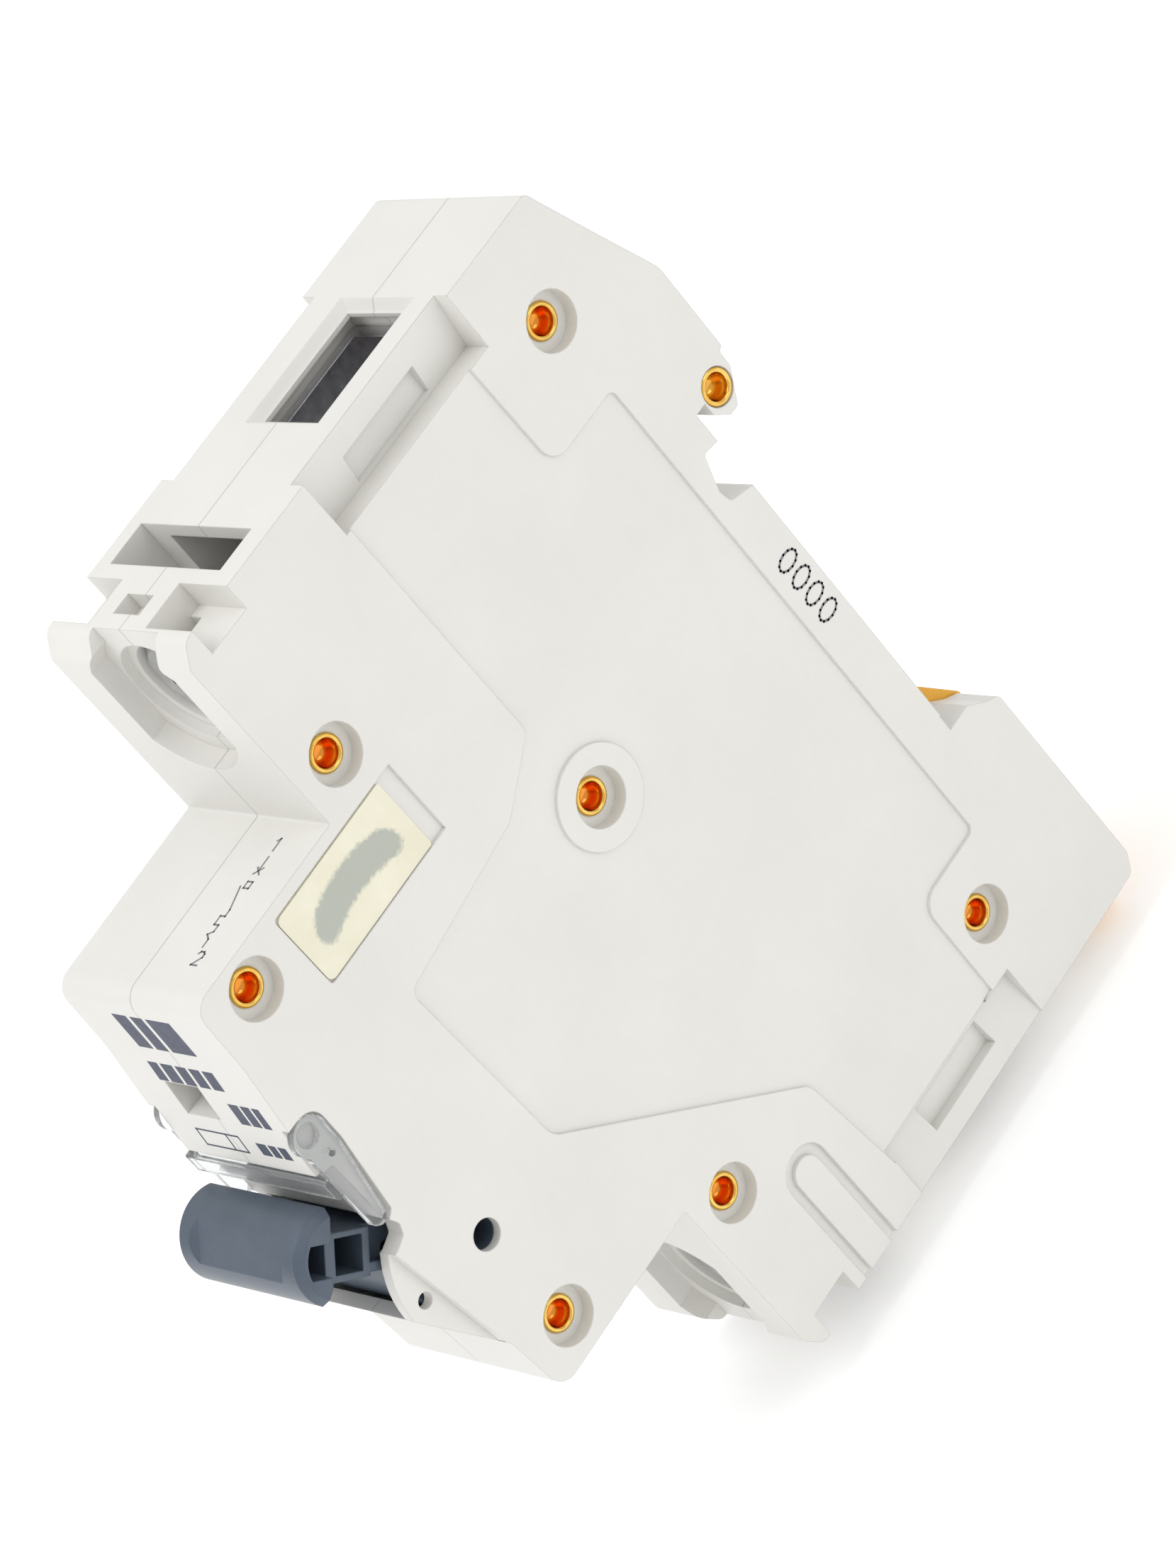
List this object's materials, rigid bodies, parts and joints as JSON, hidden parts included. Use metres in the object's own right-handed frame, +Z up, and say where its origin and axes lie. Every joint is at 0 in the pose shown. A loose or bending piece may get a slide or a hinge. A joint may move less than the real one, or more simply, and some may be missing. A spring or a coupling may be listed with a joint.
{
  "type": "miniature circuit breaker",
  "caption": "Slim single-pole circuit breaker for a top-hat rail, with a rocking handle, screw cage terminals at both ends, a clear marker cover and a sprung rail latch.",
  "frame": {"origin": "mid width, on the rail seat plane, at the centre line of the rail", "axes": "+X towards the right side face seen with the handle facing the viewer and the line terminal up, +Y out of the rail seat towards the rail, +Z up towards the line terminal marked 1"},
  "size_m": [0.0176, 0.0746, 0.0853],
  "materials": {
    "case_plastic": "warm light grey moulded thermoset, satin",
    "rivet_metal": "yellow plated, polished",
    "handle_plastic": "slate blue-grey, satin",
    "spring_steel": "drawn wire",
    "flag_plastic": "dark red with a white half",
    "contact_copper": "copper, rolled",
    "carrier_plastic": "black thermoset",
    "silver_contact": "silver alloy",
    "bimetal": "rolled bimetal",
    "steel_zinc": "bright zinc plated",
    "steel_dark": "plain steel",
    "fibre_card": "pressed fibre",
    "former_plastic": "natural plastic",
    "clear_plastic": "clear moulded plastic",
    "film": "cream printed film",
    "clip_plastic": "yellow-orange moulded plastic"
  },
  "bodies": {
    "case": {"case_right": "case_plastic", "case_left": "case_plastic", "rivets": "rivet_metal", "carrier_pin": "steel_zinc", "trip_lever_pin": "steel_zinc", "fixed_contact_pad": "silver_contact", "fixed_contact_strip": "contact_copper", "calibration_screw": "steel_zinc", "yoke": "steel_dark", "coil_former": "former_plastic", "magnet_coil": "contact_copper", "magnet_core": "steel_dark", "arc_chute_plates": "steel_dark", "arc_chute_sides": "fibre_card", "arc_runner": "steel_dark", "terminal_bar_upper": "contact_copper", "terminal_bar_lower": "contact_copper", "side_film": "film"},
    "handle": {"toggle_handle": "handle_plastic", "handle_spring": "spring_steel"},
    "link": {"link_wire": "spring_steel"},
    "carrier": {"contact_carrier": "carrier_plastic", "contact_arm": "contact_copper", "moving_contact_pad": "silver_contact", "contact_spring": "spring_steel", "flexible_braid": "contact_copper"},
    "trip": {"trip_lever": "carrier_plastic"},
    "bimetal": {"bimetal_strip": "bimetal"},
    "plunger": {"plunger": "steel_dark", "plunger_spring": "spring_steel"},
    "flag": {"indicator_flag": "flag_plastic"},
    "cover": {"marker_cover": "clear_plastic"},
    "clip": {"rail_clip": "clip_plastic", "rail_clip_spring": "spring_steel"},
    "screw_upper": {"terminal_screw_upper": "steel_zinc"},
    "screw_lower": {"terminal_screw_lower": "steel_zinc"},
    "cage_upper": {"clamp_cage_upper": "steel_zinc"},
    "cage_lower": {"clamp_cage_lower": "steel_zinc"}
  },
  "joints": [
    {"name": "handle_rock", "type": "hinge", "parent": "case", "child": "handle", "pos_m": [0, -0.05655, -0.0088], "axis": [1, 0, 0], "range_deg": [0, 36], "deforming": ["handle_spring", "contact_spring", "flexible_braid"]},
    {"name": "link_pivot", "type": "hinge", "parent": "handle", "child": "link", "pos_m": [0, -0.05535, -0.0052], "axis": [1, 0, 0], "range_deg": [-41, 1]},
    {"name": "carrier_pivot", "type": "hinge", "parent": "case", "child": "carrier", "pos_m": [0, -0.034, -0.0155], "axis": [1, 0, 0], "range_deg": [0, 21]},
    {"name": "flag_pivot", "type": "hinge", "parent": "case", "child": "flag", "pos_m": [0, -0.0548, 0.008], "axis": [1, 0, 0], "range_deg": [-37, 1]},
    {"name": "trip_pivot", "type": "hinge", "parent": "case", "child": "trip", "pos_m": [0, -0.044, -0.014], "axis": [1, 0, 0], "range_deg": [0, 7]},
    {"name": "bimetal_bend", "type": "hinge", "parent": "case", "child": "bimetal", "pos_m": [0.0045, -0.0361, -0.0232], "axis": [1, 0, 0], "range_deg": [0, 4], "stiffness_Nm_per_rad": 0.05},
    {"name": "plunger_slide", "type": "slide", "parent": "case", "child": "plunger", "axis": [0, -1, 0], "range_m": [0, 0.0013], "stiffness_N_per_m": 300, "deforming": ["plunger_spring"]},
    {"name": "cover_hinge", "type": "hinge", "parent": "case", "child": "cover", "pos_m": [0, -0.06106, 0.0085], "axis": [-1, 0, 0], "range_deg": [0, 95]},
    {"name": "clip_slide", "type": "slide", "parent": "case", "child": "clip", "axis": [0, 0, -1], "range_m": [0, 0.003], "stiffness_N_per_m": 900, "deforming": ["rail_clip_spring"]},
    {"name": "screw_upper_turn", "type": "hinge", "parent": "case", "child": "screw_upper", "pos_m": [0.0003, -0.0396, 0.034], "axis": [0, 1, 0], "range_deg": [0, 4464]},
    {"name": "cage_upper_lift", "type": "slide", "parent": "case", "child": "cage_upper", "axis": [0, -1, 0], "range_m": [0, 0.0099]},
    {"name": "screw_lower_turn", "type": "hinge", "parent": "case", "child": "screw_lower", "pos_m": [0.0003, -0.0396, -0.034], "axis": [0, 1, 0], "range_deg": [0, 4464]},
    {"name": "cage_lower_lift", "type": "slide", "parent": "case", "child": "cage_lower", "axis": [0, -1, 0], "range_m": [0, 0.0099]}
  ],
  "couplings": [
    {"joint": "link_pivot", "follows": "handle_rock", "ratio": -1.094},
    {"joint": "carrier_pivot", "follows": "handle_rock", "ratio": 0.5556},
    {"joint": "flag_pivot", "follows": "handle_rock", "ratio": -1},
    {"joint": "screw_upper_turn", "follows": "cage_upper_lift", "rad_per_m": 7854},
    {"joint": "screw_lower_turn", "follows": "cage_lower_lift", "rad_per_m": 7854}
  ]
}
